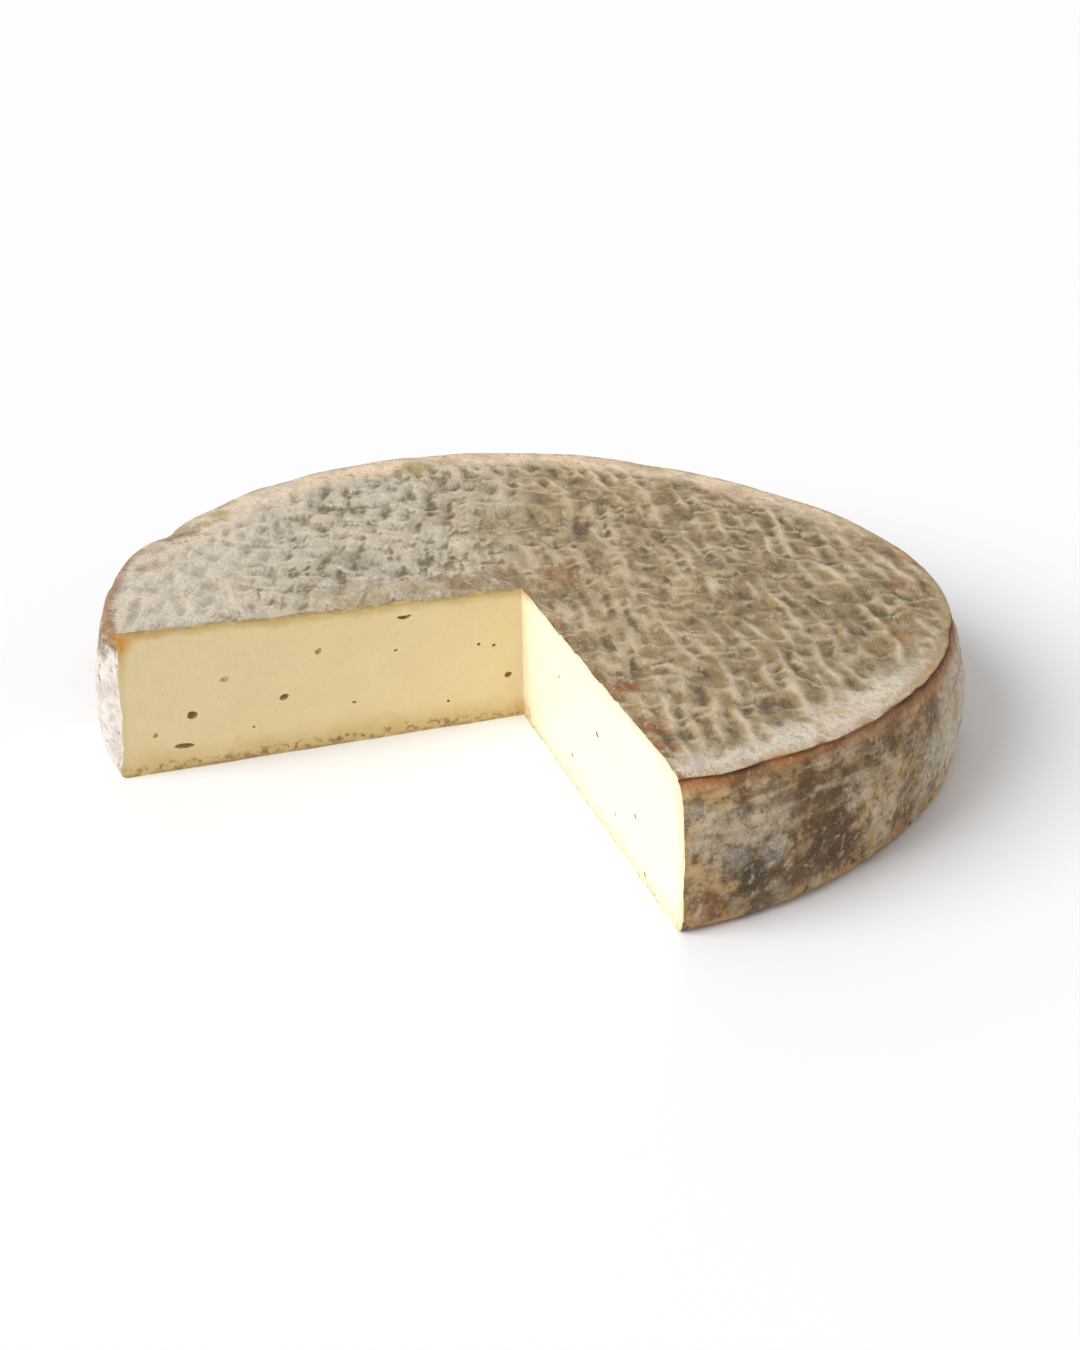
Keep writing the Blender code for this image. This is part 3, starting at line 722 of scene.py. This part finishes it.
# The side: tan and brown crust with grey bloom, dark cracks, rust at the foot, and the crack at the lip
def sideColour(sheet, x, y, z, angle, deep, cloud, mottle, speck):
    broad, bumps, cracks = crustRelief(sheet, x, y, z, crust)
    grit = sheet.noise(x, y, z, 0.0027, detail=3.0, rough=0.65, seed=36.0)
    side = sheet.tint(sheet.ease(mottle + broad * 0.6, -0.3, 0.35), tones["sideBrown"], tones["sideTan"])
    side = sheet.tint(sheet.ease(cloud, 0.0, 0.4) * 0.6, side, tones["sideGrey"])
    along = angle * wheel["radius"]
    for degrees, high, radius, tone, strength in sideMarks:
        spot = math.radians(degrees) * wheel["radius"] * 1000
        share = patch(sheet, along, z, spot, high, radius, mottle * 1.4 + grit * 0.8)
        side = sheet.tint(share * strength, side, tones[tone])
    calm = sheet.ease(angle, -0.80, -0.40) * sheet.ease(angle, 0.6, 0.2)
    side = sheet.tint(sheet.ease(grit, 0.02, 0.34) * sheet.mix(calm, 0.70, 0.36), side, tones["dark"])
    side = sheet.tint(sheet.ease(grit, -0.06, -0.36) * 0.68, side, tones["sideGrey"])
    side = sheet.tint(cracks * sheet.mix(calm, 0.60, 0.30), side, tones["crack"])
    streak = sheet.noise(x * 0.25, y * 0.25, deep * 1.5, 0.0042, detail=3.0, rough=0.6, seed=38.0)
    upper = sheet.ease(deep + mottle * 0.006, 0.020, 0.009) * sheet.mix(calm, 1.0, 0.5)
    side = sheet.tint(sheet.ease(streak, 0.0, 0.22) * upper * 0.55, side, tones["sideBrown"])
    side = sheet.tint(sheet.ease(streak, -0.06, -0.28) * upper * 0.40, side, tones["sideGrey"])
    net = sheet.math("ABSOLUTE", sheet.noise(x, y, z, 0.0034, detail=3.0, rough=0.7, seed=37.0))
    netted = sheet.ease(net, 0.14, 0.0) * sheet.ease(mottle, 0.2, -0.2) * sheet.mix(calm, 0.42, 0.20)
    side = sheet.tint(netted, side, tones["dark"])
    bloomed = bloomAt(sheet, z, angle, cloud, mottle)
    flour = sheet.tint(sheet.ease(mottle + grit * 0.4, -0.25, 0.2), tones["bloom"], tones["flour"])
    side = sheet.tint(bloomed * sheet.ease(grit, 0.60, 0.12) * 0.95, side, flour)
    foot = sheet.ease(z + mottle * 0.014 + cloud * 0.008, 0.0065, 0.0002) * sheet.mix(bloomed, 0.75, 0.1)
    footTone = sheet.tint(sheet.ease(mottle + grit * 0.6, -0.05, 0.25), tones["ochre"], tones["sideBrown"])
    side = sheet.tint(foot, side, sheet.tint(sheet.ease(grit, 0.05, 0.4), footTone, tones["crack"]))

    drop, gaping = grooveAt(sheet, x, y)
    hot = sheet.most(sheet.ease(sheet.noise(x, y, z, 0.014, detail=1.0, seed=35.0), -0.25, 0.10),
                     sheet.ease(angle, -1.12, -1.2))
    broken = rightEnd(sheet, angle)
    glow = (deep - drop) / sheet.mix(broken, 0.0022, 0.0030)
    warm = sheet.math("EXPONENT", -(glow * glow)) * sheet.mix(sheet.most(hot, broken), 0.45, 0.9)
    warm = warm * sheet.ease(angle, 3.2, 2.7)
    side = sheet.tint(warm, side, tones["orange"])
    off = (deep - drop - speck * 0.0006 - mottle * 0.0004) / sheet.mix(broken, 0.0015, 0.0019)
    crack = sheet.math("EXPONENT", -(off * off)) * sheet.mix(sheet.most(gaping, broken), 0.5, 1.0)
    rusted = hot * sheet.mix(broken, 1.0, 0.35)
    return sheet.tint(crack * 0.92, side, sheet.tint(rusted, tones["crack"], tones["rust"]))


def rindMaterial():
    material, sheet, shader = newMaterial("rindCrust", Roughness=0.9, Specular_IOR_Level=0.25,
                                          Sheen_Weight=0.12, Sheen_Roughness=0.6)
    x, y, z, far, angle, reach = whereabouts(sheet)
    deep = depthInside(sheet, x, y, z, far, angle, reach)[0]
    cloud = sheet.noise(x, y, z, 0.020, detail=3.0, rough=0.55, seed=31.0)
    mottle = sheet.noise(x, y, z, 0.0058, detail=3.0, rough=0.6, seed=32.0)
    speck = sheet.noise(x, y, z, 0.0012, detail=4.0, rough=0.7, seed=33.0)
    fine = sheet.noise(x, y, z, 0.0005, detail=2.0, rough=0.6, seed=34.0)
    top = topColour(sheet, x, y, z, angle, reach, cloud, mottle, speck)
    side = sideColour(sheet, x, y, z, angle, deep, cloud, mottle, speck)
    drop = grooveAt(sheet, x, y)[0]
    pastLip = sheet.ease(deep + mottle * 0.0003, drop - 0.0006, drop) * sheet.ease(reach, 0.945, 0.970)
    pastLip = sheet.most(pastLip, sheet.ease(deep, 0.0035, 0.0050))
    underneath = sheet.ease(z, 0.0008, 0.0003) * sheet.ease(reach, 1.0, 0.97)
    colour = sheet.tint(pastLip * (1.0 - underneath), top, side)
    bloomed = bloomAt(sheet, z, angle, cloud, mottle) * pastLip
    colour = sheet.tint(sheet.ease(speck, 0.12, 0.50) * sheet.mix(bloomed, 0.42, 0.15), colour, tones["dark"])
    colour = sheet.tint(sheet.ease(speck + fine * 0.4, -0.12, -0.55) * 0.40, colour, tones["cream"])
    sheet.feed(shader.inputs["Base Color"], colour)
    bump(sheet, shader, speck * 0.00030 + fine * 0.00008 + mottle * 0.0003)
    return material


# The paste yellows towards the rind; the left face is painted a darker, warmer yellow and the right face
# paler: painted shade and painted light, for the key lights the right face and not the left
def pasteColour(sheet, x, y, z, far, angle, reach):
    below, inFrom = depthInside(sheet, x, y, z, far, angle, reach)
    warp = sheet.noise(x, y, z, 0.006, detail=2.0, seed=40.0)
    veil = sheet.noise(x, y, z, 0.013, detail=2.0, seed=41.0)
    leftSide = sheet.ease(x, 0.002, -0.004)
    # leftSide marks the left face, turned from the key: its darker, warmer body tone is painted shade
    body = sheet.tint(leftSide, paint(244, 235, 208), paint(226, 207, 163))
    body = sheet.tint(sheet.ease(veil, 0.0, 0.5) * 0.25, body, paint(224, 204, 158))
    ripe = sheet.ease(below + warp * 0.0012, 0.0036, 0.0006) * sheet.mix(leftSide, 0.12, 0.80)
    cornered = sheet.ease(far, 0.078, 0.102) * leftSide
    body = sheet.tint(ripe, body, sheet.tint(cornered, paint(200, 170, 104), paint(192, 152, 68)))
    outer = sheet.ease(inFrom + warp * 0.0015, 0.0050, 0.0008) * 0.5
    body = sheet.tint(outer, body, paint(226, 206, 156))
    low = sheet.ease(z + warp * 0.003 - veil * 0.003, 0.0085, 0.0006) * sheet.mix(leftSide, 0.25, 0.80)
    body = sheet.tint(low, body, paint(208, 178, 116))
    grain = sheet.noise(x, y, z, 0.0016, detail=2.0, rough=0.6, seed=42.0)
    rusty = sheet.ease(grain + warp * 0.2, 0.0, 0.22) * sheet.ease(z + warp * 0.0030, 0.0042, 0.0008)
    speckled = sheet.tint(sheet.ease(veil, -0.1, 0.1), paint(140, 92, 50), paint(112, 92, 62))
    body = sheet.tint(rusty * sheet.mix(leftSide, 0.35, 0.85), body, speckled)
    stain = patch(sheet, far, z * 0.75, 108.0, 29.2, 8.6, warp * 0.7) * leftSide
    body = sheet.tint(stain * 0.95, body, paint(202, 136, 38))
    return body, below, inFrom


def sectionMaterial():
    material, sheet, shader = newMaterial("rindSection", Roughness=0.8, Specular_IOR_Level=0.3)
    where = whereabouts(sheet)
    x, y, z = where[:3]
    # body carries the paste's painted shade on the left face
    body, below, inFrom = pasteColour(sheet, *where)
    patchy = sheet.noise(x, y, z, 0.0048, detail=3.0, rough=0.6, seed=45.0)
    depth = sheet.least(sheet.least(below, inFrom), z)
    leftSide = sheet.ease(x, 0.002, -0.004)
    crusty = sheet.ease(depth + patchy * 0.0020, 0.0016, 0.0004) * sheet.ease(patchy, -0.25, 0.15)
    colour = sheet.tint(sheet.mix(leftSide, 0.12, 0.35), body, paint(208, 182, 124))
    colour = sheet.tint(crusty * sheet.mix(leftSide, 0.25, 0.7), colour, paint(150, 124, 82))
    sheet.feed(shader.inputs["Base Color"], colour)
    return material


def pasteMaterial():
    material, sheet, shader = newMaterial("pasteBody", Roughness=0.5, Specular_IOR_Level=0.35,
                                          Subsurface_Weight=0.3, Subsurface_Scale=0.003,
                                          Subsurface_Radius=(1.0, 0.65, 0.35))
    where = whereabouts(sheet)
    x, y, z = where[:3]
    sheet.feed(shader.inputs["Base Color"], pasteColour(sheet, *where)[0])
    curd = sheet.noise(x, y, z, 0.0022, detail=3.0, rough=0.55, seed=43.0)
    drag = sheet.noise(x * 0.35, y * 0.35, z * 1.6, 0.004, detail=2.0, seed=44.0)
    bump(sheet, shader, curd * 0.00012 + drag * 0.00010)
    return material


def plainMaterial(name, colour, **constants):
    material, sheet, shader = newMaterial(name, **constants)
    shader.inputs["Base Color"].default_value = colour
    return material


shape = wheelShape()
rindSkin = rindMaterial()
section = sectionMaterial()
pasteBody = pasteMaterial()
# The walls of the openings are a darker yellow: painted shade in the holes
pasteHoleShade = plainMaterial("pasteHoleShade", paint(206, 180, 122), Roughness=0.6)
rind = grow("rind", rindTree(shape, rindSkin, section), {})
paste = grow("paste", pasteTree(shape, pasteBody, pasteHoleShade), {}, holePoints())
for piece, slot in ((rind, "rind"), (paste, "paste")):
    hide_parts("cheese_wheel")
    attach(piece, "root")

# The camera stands where the photograph was taken from
view = {
    "place": (0.0, -0.4812, 0.2664),        # from the axis
    "yaw": 0.0046, "pitch": 0.0194, "roll": math.radians(-1.05), "lens": 54.9,
}


def addCamera():
    toAxis = -Vector(view["place"]).normalized()
    side = Vector((1.0, 0.0, 0.0))
    up = side.cross(toAxis)
    ahead = (toAxis + side * view["yaw"] + up * view["pitch"]).normalized()
    side = ahead.cross(Vector((0.0, 0.0, 1.0))).normalized()
    up = side.cross(ahead)
    rolledSide = side * math.cos(view["roll"]) + up * math.sin(view["roll"])
    rolledUp = up * math.cos(view["roll"]) - side * math.sin(view["roll"])
    lens = bpy.data.cameras.new("camera")
    lens.lens = view["lens"]
    camera = bpy.data.objects.new("camera", lens)
    turned = Matrix((rolledSide, rolledUp, -ahead)).transposed().to_4x4()
    stand = Vector(view["place"]) + Vector((wheel["axisX"], wheel["axisY"], 0.0))
    camera.matrix_world = Matrix.Translation(stand) @ turned
    bpy.context.scene.collection.objects.link(camera)
    bpy.context.scene.camera = camera


# Soft daylight from the left and a warm, even fill from all round
light = {
    "from": (-0.75, -0.30, 0.62), "key": 2.8, "softness": math.radians(45), "keyColour": (1.0, 0.99, 0.975),
    "fill": 0.58, "fillColour": (1.0, 0.972, 0.925, 1.0),
}


def addLights():
    sun = bpy.data.lights.new("key", "SUN")
    sun.energy = light["key"]
    sun.angle = light["softness"]
    sun.color = light["keyColour"]
    lamp = bpy.data.objects.new("key", sun)
    lamp.rotation_euler = Vector(light["from"]).to_track_quat("Z", "Y").to_euler()
    bpy.context.scene.collection.objects.link(lamp)
    world = bpy.data.worlds.new("world")
    world.use_nodes = True
    sky = world.node_tree.nodes["Background"]
    sky.inputs["Color"].default_value = light["fillColour"]
    sky.inputs["Strength"].default_value = light["fill"]
    bpy.context.scene.world = world
    bpy.context.scene.view_settings.view_transform = "Standard"


def addFloor():
    mesh = bpy.data.meshes.new("floor")
    half = 4.0
    mesh.from_pydata([(-half, -half, 0.0), (half, -half, 0.0), (half, half, 0.0), (-half, half, 0.0)],
                     [], [(0, 1, 2, 3)])
    mesh.materials.append(plainMaterial("floorPaper", paint(242, 244, 249), Roughness=0.9))
    floor = bpy.data.objects.new("floor", mesh)
    bpy.context.scene.collection.objects.link(floor)


addCamera()
addLights()
addFloor()
print("Camera, lights and floor stand")
